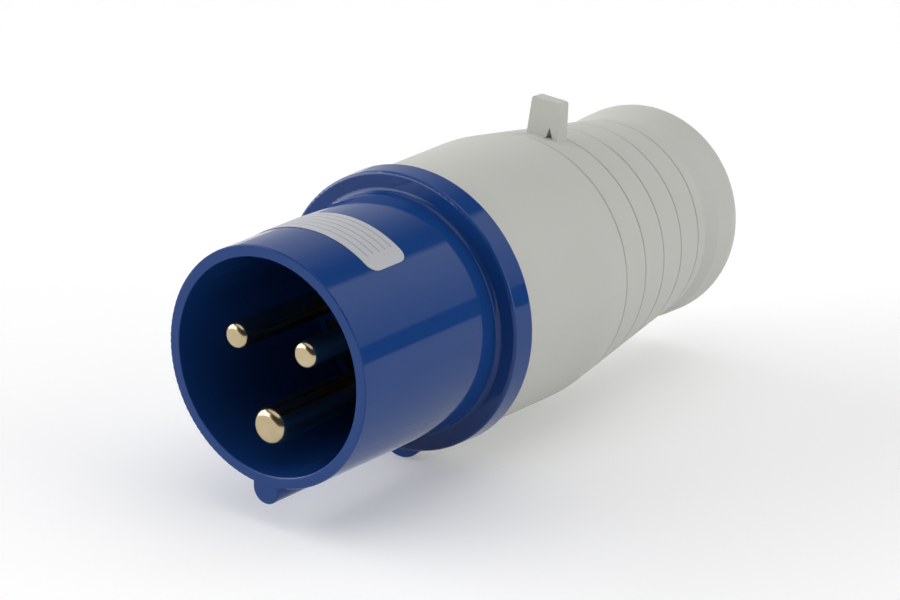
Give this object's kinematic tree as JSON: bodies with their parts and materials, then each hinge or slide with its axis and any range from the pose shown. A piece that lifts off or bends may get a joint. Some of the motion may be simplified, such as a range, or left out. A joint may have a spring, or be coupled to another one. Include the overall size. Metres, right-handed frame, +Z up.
{
  "type": "industrial plug",
  "caption": "Blue and grey splash-proof industrial cable plug with earth, for 16 A single-phase supply, with a pin shroud, keyway rib and flared grip.",
  "frame": {"origin": "centre of the shroud's mouth, on the plug's axis", "axes": "+Y along the axis from the mouth back to the cable end, +Z up and away from the shroud's key, +X to the right as seen from the mouth side looking along +Y"},
  "size_m": [0.055, 0.1318, 0.0637],
  "materials": {
    "blue_moulding": "glossy moulded polyamide",
    "grey_moulding": "fine matte moulded",
    "dark_insert": "matte moulded",
    "contact_metal": "nickel-plated, bright",
    "steel": "zinc-plated",
    "seal_rubber": "matte"
  },
  "bodies": {
    "root": {"cable_grommet": "seal_rubber", "carrier_screw_left": "steel", "carrier_screw_right": "steel", "clamp_nut_left": "steel", "clamp_nut_right": "steel", "clamp_saddle": "dark_insert", "clamp_screw_left": "steel", "clamp_screw_right": "steel", "contact_carrier": "dark_insert", "front_shell": "blue_moulding", "grommet_ring": "grey_moulding", "handle_body": "grey_moulding", "handle_seal": "seal_rubber", "pin_earth": "contact_metal", "pin_live": "contact_metal", "pin_neutral": "contact_metal", "terminal_plate": "dark_insert", "terminal_screw_earth": "steel", "terminal_screw_live": "steel", "terminal_screw_neutral": "steel"}
  },
  "joints": []
}
